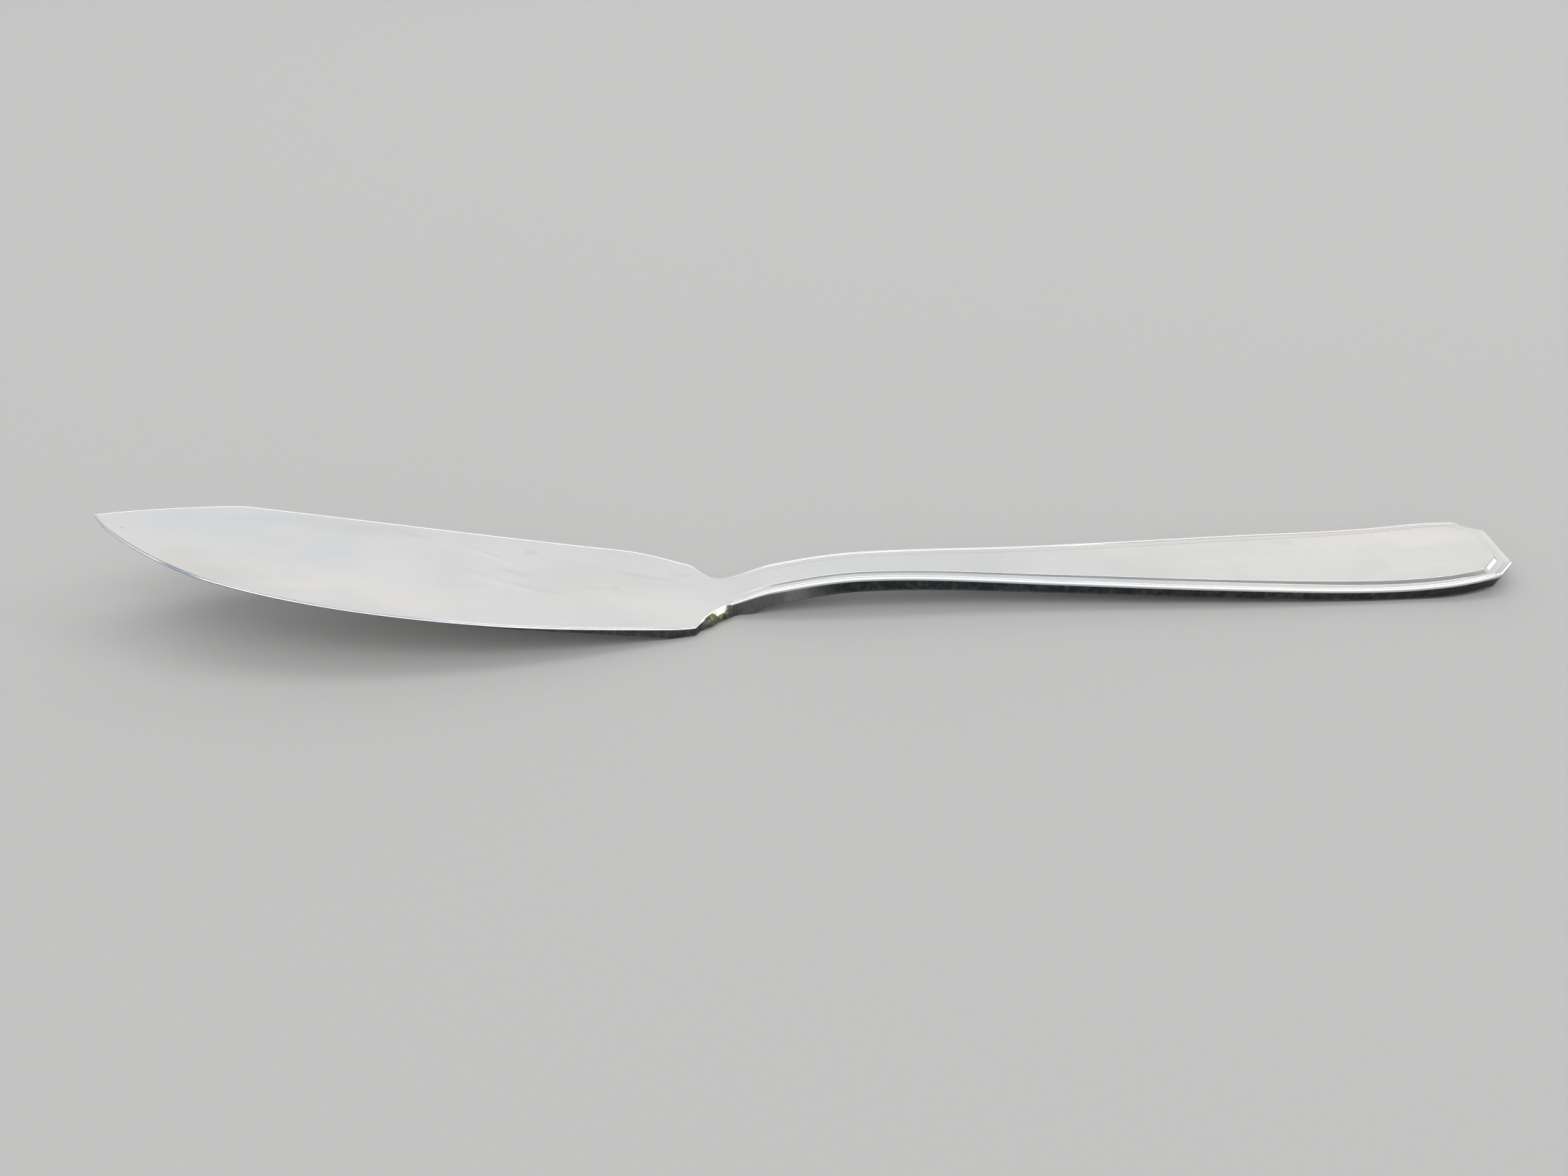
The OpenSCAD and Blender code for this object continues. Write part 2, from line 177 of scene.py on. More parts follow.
class Paint:  # one tree of shader nodes
    def __init__(self, tree):
        self.tree = tree
        tree.nodes.clear()

    def node(self, kind, settings, sockets, out=0):
        made = self.tree.nodes.new(kind)
        for key, value in settings.items():
            setattr(made, key, value)
        for key, value in sockets.items():
            if isinstance(value, Wire):
                self.tree.links.new(value.socket, made.inputs[key])
            else:
                made.inputs[key].default_value = value
        return Wire(self, made.outputs[out]) if made.outputs else made

    def math(self, operation, *values):
        return self.node("ShaderNodeMath", {"operation": operation}, dict(enumerate(values)))

    def soft(self, value, low, high):  # 0 at low, 1 at high
        return self.node("ShaderNodeMapRange", {"interpolation_type": "SMOOTHSTEP"},
                         {"Value": value, "From Min": low, "From Max": high})

    def mix(self, share, a, b, blend="MIX"):  # colours are in the node's sockets 6 and 7
        colours = {key: value if isinstance(value, Wire) else (*value, 1) for key, value in ((6, a), (7, b))}
        settings = {"data_type": "RGBA", "blend_type": blend}
        return self.node("ShaderNodeMix", settings, {0: share, **colours}, 2)

    def inMillimetres(self):  # places in the frame, from the middle of the knife
        metres = self.node("ShaderNodeTexCoord", {}, {}, "Object")
        return self.node("ShaderNodeVectorMath", {"operation": "SCALE"}, {0: metres, "Scale": 1/millimetre})

    def amount(self, key):  # what the mesh says at each point
        return self.node("ShaderNodeAttribute", {"attribute_name": key}, {}, "Fac")

    def cloud(self, place, scale, detail=2.0, rough=0.5):
        return self.node("ShaderNodeTexNoise", {}, {"Vector": place, "Scale": scale, "Detail": detail,
                                                    "Roughness": rough})

    def spots(self, place, scale, detail, rough, low, high):  # the brighter parts of a cloud
        return self.soft(self.cloud(place, scale, detail, rough), low, high)

    def turned(self, place, angle, scale, at=(0, 0, 0)):
        sockets = {"Vector": place, "Location": at, "Rotation": (0, 0, math.radians(angle)), "Scale": scale}
        return self.node("ShaderNodeMapping", {"vector_type": "TEXTURE"}, sockets)

    def hairlines(self, place, angle, length, width, thin, seed, deep=50):  # thin lines that come and go
        grain = self.cloud(self.turned(place, angle, (length, width, deep), (seed, seed*1.7, 0)), 1)
        areas = self.turned(place, angle, (length*0.7, length*0.3, deep), (seed, 0, 0))
        line = 1 - self.soft(abs(grain - 0.5), 0, thin)
        return line*self.spots(areas, 1, 1, 0.5, 0.5, 0.68)

    def streak(self, place, at, angle, length, width, full=0.35):  # one soft mark, full near its middle
        within = self.turned(place, angle, (length/2, width/2, 1), (*at, 0))
        x, y = (self.node("ShaderNodeSeparateXYZ", {}, {0: within}, k) for k in (0, 1))
        return (1 - self.soft(abs(x), full, 1))*(1 - self.soft(abs(y), 0, 1))

    def bump(self, strength, distance, height):
        return self.node("ShaderNodeBump", {}, {"Strength": strength, "Distance": distance, "Height": height})

    def surface(self, colour, rough, **others):
        sockets = {"Base Color": colour, "Roughness": rough, **others}
        shader = self.node("ShaderNodeBsdfPrincipled", {}, sockets)
        self.node("ShaderNodeOutputMaterial", {}, {"Surface": shader})


def newMaterial(name):
    material = bpy.data.materials.new(name)
    material.use_nodes = True
    return material, Paint(material.node_tree)


# Silver plate, to which the blade and the handle each add their own marks

plateLook = {
    "silver": (0.868, 0.870, 0.868),
    "tones": {"grey": (0.45, 0.46, 0.48), "brown": (0.48, 0.44, 0.38), "tan": (0.79, 0.75, 0.70),
              "cool": (0.77, 0.785, 0.82), "pale": (0.92, 0.925, 0.89), "warm": (0.985, 0.95, 0.90),
              "bright": (0.96, 0.965, 0.955)},
    # clouds: scale, detail, roughness, and between which values a spot goes from nothing to full
    "smudge": (0.07, 3, 0.6, 0.42, 0.7),
    "wipe": (1, 3, 0.55, 0.45, 0.75), "wipeSize": (30, 5, 10),
    "speck": (2.6, 3, 0.7, 0.6, 0.78),
    "dullSpots": (1.1, 4, 0.7, 0.42, 0.7),
    # turn, length, width, thinness and seed of the two sets of hairlines
    "hairlines": [(0, 26, 0.35, 0.02, 3.0), (-26, 14, 0.5, 0.015, 11.0)],
    # clouds that make the tarnish and painted shade uneven: scale, detail, roughness
    "dullGrain": (5.0, 4, 0.75), "dullLevel": (0.2, 1.5), "dullShare": 0.8,
    "depthGrain": (0.8, 4, 0.65), "depthLevel": (0.86, 0.28),
    "crustGrain": (4.0, 4, 0.7), "waveScale": 0.5,
    # how much each mark greys the silver, roughens it and raises it
    "grey": {"smudge": 0.1, "wipe": 0.07, "lines": 0.05, "speck": 0.03},
    "rough": {"silver": 0.20, "smudge": 0.05, "wipe": 0.03, "tarnishAndShade": 0.12, "polish": 0.08, "lines": 0.05},
    "raised": {"lines": -0.3, "speck": -0.25, "waves": 0.8, "tarnishAndShade": 5.0},
    "bump": (0.12, 0.02*millimetre),
    "polishClears": 0.6,  # how much of the tarnish and painted shade is gone where an edge is polished
}


def silverPlate(name, look):
    material, paint = newMaterial(name)
    place = paint.inMillimetres()
    tarnishAndShade, polish = paint.amount("tarnishAndShade"), paint.amount("polish")
    smudge, speck = (paint.spots(place, *plateLook[key]) for key in ("smudge", "speck"))
    wipe = paint.spots(paint.turned(place, look["grain"], plateLook["wipeSize"]), *plateLook["wipe"])
    fine, cross = (paint.hairlines(place, look["grain"] + turn, *sizes)
                   for turn, *sizes in plateLook["hairlines"])
    lines = paint.math("MAXIMUM", fine, cross)

    tones = plateLook["tones"]
    bare = plateLook["silver"]
    for tone, at, angle, length, width, strength in look["patches"]:
        bare = paint.mix(paint.streak(place, at, angle, length, width)*strength, bare, tones[tone])
    part = plateLook["grey"]
    grey = smudge*part["smudge"] + wipe*part["wipe"] + lines*part["lines"] + speck*part["speck"]
    bare = paint.mix(grey, bare, tones["grey"])
    # painted reflections: colours laid on the polished edges only, standing in for what those edges would
    # mirror
    for at, angle, length, width, reflectionColour in look["tints"]:
        bare = paint.mix(paint.streak(place, at, angle, length, width)*polish, bare, reflectionColour)

    # the dark tone of tarnish, which also stands as painted shade on the sides, along the rim of the cutting
    # edge and in the handle's thread and step
    dull = paint.mix(paint.spots(place, *plateLook["dullSpots"]), look["dull"], look["spots"])
    # paler patches mixed into the dark tone of the sides
    for at, angle, length, width, paleTone in look["scuffs"]:
        dull = paint.mix(paint.streak(place, at, angle, length, width), dull, paleTone)
    least, more = plateLook["dullLevel"]
    uneven = least + more*paint.cloud(place, *plateLook["dullGrain"])
    dull = paint.mix(plateLook["dullShare"], dull, uneven, "MULTIPLY")
    least, more = plateLook["depthLevel"]
    depth = paint.math("MINIMUM", tarnishAndShade*(least + more*paint.cloud(place, *plateLook["depthGrain"])), 1.0)
    colour = paint.mix(depth*(1 - plateLook["polishClears"]*polish), bare, dull)

    part = plateLook["rough"]
    rough = (part["silver"] + smudge*part["smudge"] + wipe*part["wipe"] + tarnishAndShade*part["tarnishAndShade"]
             - polish*part["polish"] + lines*part["lines"])
    part = plateLook["raised"]
    waves, crust = paint.cloud(place, plateLook["waveScale"]), paint.cloud(place, *plateLook["crustGrain"])
    height = lines*part["lines"] + speck*part["speck"] + waves*part["waves"] + tarnishAndShade*crust*part["tarnishAndShade"]
    paint.surface(colour, rough, Metallic=1.0, Normal=paint.bump(*plateLook["bump"], height))
    return material


# Side view, shared by blade and handle

sideView = {
    "tilt": 9.5,             # degrees by which the blade rises towards its tip
    "bend": (-8.0, 1.87),    # where that tilt ends
    "face": [(-8, 1.87), (-4, 1.5), (0, 1.8), (7, 4.12), (20, 5.65), (48.163, 4.277), (74.232, 3.057),
             (98.4, 2.48), (116.9, 3.88)],
    "under": [(3.6, 0), (7, 1.32), (20, 2.97), (48.163, 1.997), (74.232, 0.777), (94.4, 0), (102.4, 0),
              (116.9, 0.78)],
    "rests": (94.4, 102.4),  # the handle lies on the table between these
    "jointRound": 0.25,      # rounding of every edge where blade and handle meet
}
slant = math.tan(math.radians(sideView["tilt"]))


def faceHeight(x):
    bendX, bendZ = sideView["bend"]
    curve = throughPoints(sideView["face"], np.maximum(x, bendX), -slant)
    return np.where(x < bendX, bendZ - (x - bendX)*slant, curve)


def underHeight(x):
    first, (restFrom, restTo) = sideView["under"][0][0], sideView["rests"]
    onTable = (x <= first) | ((x >= restFrom) & (x <= restTo))
    curve = throughPoints(sideView["under"], np.maximum(x, first), 0)
    return np.where(onTable, 0, np.maximum(0, curve))


# Blade

bladeSettings = {
    # corners and turning points of the outline, x and y
    "places": {"tip": (-bladeLong, 7.75), "peak": (-68.3, 12.78), "shoulder": (-15, 10.02),
               "notch": (-4.5, 7.35), "farRoot": (0, 3.48),
               "nearTip": (-bladeLong, 7.3), "front": (-69.0, -5.15), "belly": (-33, -10.12),
               "heel": (-4.3, -7.5), "nearRoot": (0, -3.48)},
    # curves between them: start, end, the angles there, and how far the curve keeps to them
    "spine": [("tip", "peak", 24, 0, (0.29, 0.11)), ("peak", "shoulder", -2.7, -1.6, (0.33, 0.33)),
              ("shoulder", "notch", -1.6, -24, (0.28, 0.3)), ("notch", "farRoot", -52, -8, (0.42, 0.3))],
    "edge": [("nearTip", "front", -60, -19, (0.22, 0.3)), ("front", "belly", -19, 0, (0.33, 0.33)),
             ("belly", "heel", 0, 7.7, (0.3, 0.3)), ("heel", "nearRoot", 52, 14, (0.5, 0.25))],
    "cornerRound": 0.16, "roundWithin": (-86, -0.9),   # corners are rounded that much between these
    "notchRound": 0.75, "notchFrom": (-7, -5.5),       # and that much at the notch and behind it
    "tipRound": 0.12, "tipBlunt": 0.25,
    "edgeThick": 0.28, "spineThick": 0.9, "rootThick": 2.15,
    "edgeRun": 44.0, "power": 2.6, "taper": 0.8,       # how the thickness grows towards heel and spine
    "clip": 18.5,                                      # over that length the spine thins towards the tip
    "jointFrom": -4.6,                                 # from here on the edges take over the joint's rounding
    "roll": 0.5, "drop": 0.15,                         # how wide and how deep the edges are rounded
    "bevel": (0.55, 0.3), "bevelLost": 0.9,            # the roll begins as a slack bevel, lost at the joint
    "farRoll": (0.5, 0.145), "farShape": 1.5,          # the far edge, nearly a chamfer: wide, deep, how flat
    "rollMost": 0.45, "farMost": (0.3, 0.5),           # most of the width or thickness that roundings take
    "stations": [(-bladeLong, -86.5, 14), (-86.5, -80, 36), (-80, -15, 230), (-15, -5.2, 40),
                 (-5.2, -3.7, 30), (-3.7, 0, 40)],
    "across": 30, "turnSteps": 8,
    "bevelLines": (0, 0.08, 0.3, 0.6, 0.9), "edgeLines": (0.12, 0.5, 0.88), "farLines": (0.15, 0.85),
    "faceRim": 0.004,                                  # share of the face between its rim and the next line
    # how the cutting edge is knocked about: how deep and where, then length, seed and share of the nicks
    "wear": {"least": 0.012, "more": 0.05, "moreFrom": (-75, -70), "moreTo": (-67, -62),
             "from": (-86, -84), "to": (-9, -6),
             "nicks": (0.9, 4.1), "fineNicks": (0.35, 8.3), "fineShare": 0.35},
    # tarnish and painted shade on each band: the dark rim of the cutting edge and the dark sides of edge and
    # spine are partly tarnish, partly painted shade
    "tarnishAndShade": {"roll": 0.9, "edge": 1.0, "lowRound": (0.9, 0.6), "under": 0.22, "farRound": 0.6, "far": 0.8},
    "rollDulls": (0.8, 1.0), "rollShines": (0.85, 1.0), "farDulls": (0, 0.25),  # how far round
    "look": {
        "grain": 4,  # direction of the hairlines, in degrees
        # tone, middle, angle, length, width and strength of each haze, stain or wiping mark
        "patches": [
            ("cool", (-87.1, 6.5), 3, 26, 14, 0.5), ("cool", (-69.5, 9.0), -4, 28, 7, 0.5),
            ("cool", (-70.5, 2.2), 8, 14, 15, 0.38), ("tan", (-86.5, -3.7), -28, 17, 9, 0.38),
            ("warm", (-67.1, -6.0), -7, 42, 10, 0.35), ("warm", (-28.6, -5.1), 2, 34, 10, 0.3),
            ("tan", (-33.2, 0.6), 3, 18, 9, 0.15), ("grey", (-69.5, 1.6), 8, 6, 3.5, 0.06),
            ("bright", (-48.7, 4.1), -26, 14, 1.3, 0.35), ("bright", (-45.5, -2.4), -15, 13, 1.6, 0.28),
            ("grey", (-49.6, 5.2), -24, 9, 1.1, 0.07), ("grey", (-45.0, 0.9), -17, 7, 1.5, 0.13),
            ("grey", (-42.3, -2.3), -13, 15, 1.2, 0.10), ("grey", (-50.2, 0.3), -11, 9, 1.6, 0.06),
            ("grey", (-32.7, -1.3), -4, 7, 1.1, 0.06), ("grey", (-59.7, 7.8), -14, 6, 1.8, 0.08),
            ("brown", (-26.4, 2.4), -9, 12, 1.7, 0.13), ("brown", (-21.1, 3.3), -6, 5, 2.2, 0.1),
            ("brown", (-42.8, 6.0), 8, 2.6, 2.6, 0.14), ("grey", (-30.5, -1.0), 8, 1.3, 1.4, 0.13),
            ("grey", (-97.6, 3.75), 0, 0.9, 1.0, 0.25)],
        # middle, angle, length, width and colour of each painted reflection on the polished edges
        "tints": [((-88.2, -4.9), -28, 8.5, 3.0, (0.26, 0.36, 0.52)),
                  ((-95.5, -0.2), -45, 11, 3.0, (0.72, 0.73, 0.75)),
                  ((-100.4, 3.9), -60, 3.5, 1.5, (0.90, 0.84, 0.66)),
                  ((-60.0, -10.3), -7, 40, 4.0, (0.66, 0.69, 0.74))],
        "dull": (0.060, 0.067, 0.071), "spots": (0.11, 0.115, 0.10),  # colours of the tarnish, which also serve as painted shade
        "scuffs": [],
    },
}


def bladeThickness(x, share):  # share is 0 at the cutting edge and 1 at the spine
    s = bladeSettings
    edgeThick, spineThick, rootThick = s["edgeThick"], s["spineThick"], s["rootThick"]
    peakX, bendX = s["places"]["peak"][0], sideView["bend"][0]
    run = np.clip((x + s["edgeRun"] - s["jointFrom"])/s["edgeRun"], 0, 1)
    atEdge = edgeThick + (rootThick - edgeThick)*run**s["power"]
    grow = np.clip((x - peakX)/(bendX - peakX), 0, 1)
    thin = np.maximum(0, (peakX - x)/s["clip"])
    atSpine = spineThick + (rootThick - spineThick)*grow - (spineThick - edgeThick)/2*thin
    return atEdge + (atSpine - atEdge)*ease(0, s["taper"], share)


def bladeCurves(side):  # the curves of the spine or of the edge
    places = bladeSettings["places"]
    return [bentLine(places[start], places[end], *shape) for start, end, *shape in bladeSettings[side]]


def bladeOutline(x, steps=8000):  # y of the cutting edge and y of the spine
    s = bladeSettings
    dense = np.linspace(-bladeLong, 0, steps)
    near, far = (offsetsAlong(bladeCurves(side), dense) for side in ("edge", "spine"))
    first, last = s["roundWithin"]
    inner = (dense > first) & (dense < last)
    notch = ease(*s["notchFrom"], dense)
    farSoft = softened(dense, far, s["cornerRound"])*(1 - notch) + softened(dense, far, s["notchRound"])*notch
    nearSoft = np.maximum(softened(dense, near, s["cornerRound"]), near)
    near = np.interp(x, dense, np.where(inner, nearSoft, near))
    far = np.interp(x, dense, np.where(inner, farSoft, far))

    # the thin edge has been knocked about a little, mostly behind the front curve
    wear = s["wear"]
    worn = wear["least"] + wear["more"]*ease(*wear["moreFrom"], x)*(1 - ease(*wear["moreTo"], x))
    worn = worn*ease(*wear["from"], x)*(1 - ease(*wear["to"], x))
    nicks = wobble(x, *wear["nicks"]) + wear["fineShare"]*wobble(x, *wear["fineNicks"])
    near = near + worn*np.maximum(0, nicks)

    toTip = ((s["tipRound"] - (x + bladeLong))/s["tipRound"]).clip(0, 1)
    narrowed = s["tipBlunt"] + (1 - s["tipBlunt"])*np.sqrt(np.clip(1 - toTip**2, 0, 1))
    mid = (near + far)/2
    return mid + (near - mid)*narrowed, mid + (far - mid)*narrowed


def makeBlade(material):
    s, tarnishAndShade = bladeSettings, bladeSettings["tarnishAndShade"]
    x = spread(s["stations"])
    near, far = bladeOutline(x)
    face, width = faceHeight(x), far - near
    lowNear, lowFar = (np.maximum(0, face - bladeThickness(x, share)) for share in (0, 1))
    toJoint = ease(s["jointFrom"], 0, x)

    def towardJoint(size):
        return size + (sideView["jointRound"] - size)*toJoint

    drop = towardJoint(s["drop"])
    roll = np.minimum(towardJoint(s["roll"]), width*s["rollMost"])
    nearDrop = np.minimum(drop, (face - lowNear)*s["rollMost"])
    lowRound = np.minimum(np.minimum(drop, (face - lowFar)*s["rollMost"]), width*s["rollMost"])
    farWide = np.minimum(towardJoint(s["farRoll"][0]), width*s["farMost"][0])
    farDeep = np.minimum(towardJoint(s["farRoll"][1]), (face - lowFar)*s["farMost"][1])
    slack, slackDrop = (bevel*(1 - s["bevelLost"]*toJoint) for bevel in s["bevel"])
    shares = np.linspace(0, 1, s["across"] + 1)[1:-1]
    sin, cos = quarterTurn(s["turnSteps"])
    lines, add = lineKeeper(x)

    # the face rolls down to the cutting edge, first in a slack bevel and then round
    for share in s["bevelLines"]:
        add(near + roll*(1 - slack*share), face - nearDrop*slackDrop*share, 0.0, share)
    for a, b in zip(sin, cos):
        out, down = slack + (1 - slack)*a, slackDrop + (1 - slackDrop)*(1 - b)
        dulled, shined = tarnishAndShade["roll"]*ease(*s["rollDulls"], a), 1 - ease(*s["rollShines"], a)
        add(near + roll*(1 - out), face - nearDrop*down, dulled, shined)
    for share in s["edgeLines"]:
        add(near, face - nearDrop - (face - lowNear - 2*nearDrop)*share, tarnishAndShade["edge"], 0.0)
    # the underside, from the cutting edge to the spine
    first, last = tarnishAndShade["lowRound"]
    for a, b in zip(sin, cos):
        add(near + lowRound*(1 - b), lowNear + nearDrop*(1 - a), first + (last - first)*a, 0.0)
    for share in shares:
        at = near + lowRound + (width - 2*lowRound)*share
        add(at, np.maximum(0, face - bladeThickness(x, (at - near)/width)), tarnishAndShade["under"], 0.0)
    # the spine and its chamfer
    for a, b in zip(sin, cos):
        add(far - lowRound*(1 - a), lowFar + lowRound*(1 - b), tarnishAndShade["farRound"], 0.0)
    for share in s["farLines"]:
        add(far, lowFar + lowRound + (face - lowFar - lowRound - farDeep)*share, tarnishAndShade["far"], 0.0)
    for a, b in zip(sin**s["farShape"], cos**s["farShape"]):
        dulled = tarnishAndShade["farRound"]*(1 - ease(*s["farDulls"], a))
        add(far - farWide*(1 - b), face - farDeep*(1 - a), dulled, 1.0)
    # the face, back to the cutting edge
    for share in (1 - s["faceRim"], *shares[::-1], s["faceRim"]):
        add(near + roll + (width - roll - farWide)*share, face, 0.0, 0.0)

    table = np.stack(lines, 1)
    along = np.repeat(x[:, None, None], len(lines), 1)
    points = np.concatenate([along, table[..., :2]], -1).reshape(-1, 3)
    index = np.arange(len(points)).reshape(len(x), -1)
    faces = quads(closedRings(index))[:, [0, 3, 2, 1]].tolist()
    faces += [index[0][::-1].tolist(), index[-1].tolist()]
    values = {"tarnishAndShade": table[..., 2].ravel(), "polish": table[..., 3].ravel()}
    return meshFrom("blade_body", points, faces, values, material)


# Handle

handleSettings = {
    "long": handleLong - 0.4,                      # a little shorter than the solid, as its outline is seen
    "neck": 6.72, "wide": 15.5, "neckLong": 15.0, "wideAt": 104.4, "sideEase": 0.9,
    "corner": (3.25, 2.8), "rootFillet": 0.12, "rootFilletLong": 2.0,
    "draft": 0.4, "fade": 10.0,                    # over that length from the joint the border fades in
    "border": 1.5, "borderGain": 0.3, "gainAlong": (15, 70), "borderLoss": 0.2, "lossAlong": (85, 108),
    "stepDeep": 0.2, "stepGain": 0.1, "deeperAlong": (26, 60),  # the step is shallow by the crank,
    "endGain": 0.2, "deeperFrom": 69.0,            # and gets deeper twice
    "endBorder": 1.45, "clipBorder": 1.38,         # the border's gain across the flat end and the clips
    "widenFrom": (0.4, 1.2),                       # which moves only its inner lines, not its rim
    "wallLean": 0.6, "wallLeast": 0.02,            # how the panel's wall leans, as a share of its height
    "endLean": 0.18,                               # and how much more it leans at the clips
    "leanFrom": (107.5, 111.6), "leanTo": (112.4, 114.2),
    "panelRound": (0.09, 0.055),                   # the panel's rounded edge, how wide and how deep
    "rim": 0.42, "rimDeep": 0.4, "base": 0.5,
    "rimRound": 0.94, "rimFlat": 0.97,             # shares of it where its round ends and its flat begins
    "rimShape": 1.48,                              # 1 is an ellipse, more is nearer to a flat chamfer
    "rimDulls": (0.03, 0.2), "rimShines": (0.03, 0.25), "panelShines": (0.6, 0.92),  # how far round
    "thread": (0.3, 0.11), "threadStart": 0.15,    # wide and deep, and the share of that width at the joint
    "threadFades": (32, 62), "threadFaint": 0.75,  # along here the thread gets as faint as it is on the rest
    "threadLeft": 0.1,                             # what is left of its depth where it is worn away
    "wornAway": (113.9, 115.1),                    # the flat end has been wiped clean and has lost its thread
    "cornerRound": (0.6, 0.25, 0.8),               # at the side, at the flat end, and there on the panel
    "farFrom": (2, 8), "farTo": (112.4, 114.4),    # the far side differs from the near one between these
    "farThreadShade": 0.5, "farEdgeShade": 0.35,             # how much painted shade darkens its thread and the panel's edge
    "farRim": 0.28,                                # how deep the far rim is, as a share of the near one
    "stations": [(0, 20, 100), (20, 94, 190), (94, 109.9, 56)],
    "across": 26, "turnSteps": 9, "threadSteps": 8, "cornerSteps": 6, "acrossRim": 0.012,
    "sideLines": (0.08, 0.35, 0.65, 0.92), "floorLines": (0.3, 0.6, 0.9),
    "besideThread": 0.03, "besideEdge": 0.05,
    # tarnish and painted shade on each band: the dark sides, the step's wall, the thread and the panel's edge
    # are partly tarnish, partly painted shade
    "tarnishAndShade": {"base": (0.45, 0.95), "side": 1.0, "under": 0.3, "thread": 0.6, "floor": 0.05,
                "wall": ((0, 0.4), (0.08, 0.36), (0.5, 0.3), (0.92, 0.25)),  # how high, and how much tarnish and painted shade
                "panelEdge": 0.5},
    "polish": {"besideThread": 0.2, "floor": 0.1, "panel": 0.1},
    "look": {  # in the same order as the blade's
        "grain": 0,
        "patches": [
            ("pale", (73.7, -1.5), -2, 100, 22, 0.8), ("cool", (9, -1), 0, 47, 18, 0.3),
            ("warm", (85.0, 2.8), -2, 44, 7.0, 0.9), ("tan", (70.0, 2.8), -2, 5, 2.4, 0.3),
            ("bright", (46.5, 0.9), 3, 12, 6, 0.25), ("grey", (37.6, -0.5), -1, 9, 5, 0.03),
            ("warm", (101.2, -1.3), 90, 12, 2.0, 0.9)],
        # painted reflections on the polished rim: bluish along the near side, yellowish at the flat end
        "tints": [((20.0, -6.5), 0, 80, 6.0, (0.80, 0.82, 0.90)),
                  ((101.2, -1.3), 90, 12, 2.5, (0.90, 0.90, 0.78))],
        # colours of the tarnish, which also serve as painted shade
        "dull": (0.033, 0.038, 0.042), "spots": (0.07, 0.078, 0.07),
        # middle, angle, length, width and colour of each paler patch on the dark sides by the crank
        "scuffs": [((-8.0, -5.7), 0, 20, 6, (0.21, 0.225, 0.21)),
                   ((-4.8, -6.2), -8, 5, 5, (0.36, 0.38, 0.35))],
    },
}

# the profile's lines by number, in the order in which handleProfile adds them
profileLines = {"rim": slice(14, 24), "rimFlat": slice(24, 25), "thread": slice(25, 34),
                "panelEdge": slice(47, 53)}
threadShares = np.linspace(0, 1, handleSettings["threadSteps"] + 1)
threadDips = (1 - np.cos(2*math.pi*threadShares))/2


def halfWidth(x):
    s = handleSettings
    cornerX = s["long"] - s["corner"][0]
    return (s["neck"]/2 + (s["wide"] - s["neck"])/2*ease(s["neckLong"], s["wideAt"], x)
            + s["rootFillet"]*np.maximum(0, 1 - x/s["rootFilletLong"])**2
            - s["sideEase"]*np.maximum(0, (x - s["wideAt"])/(cornerX - s["wideAt"]))**2)


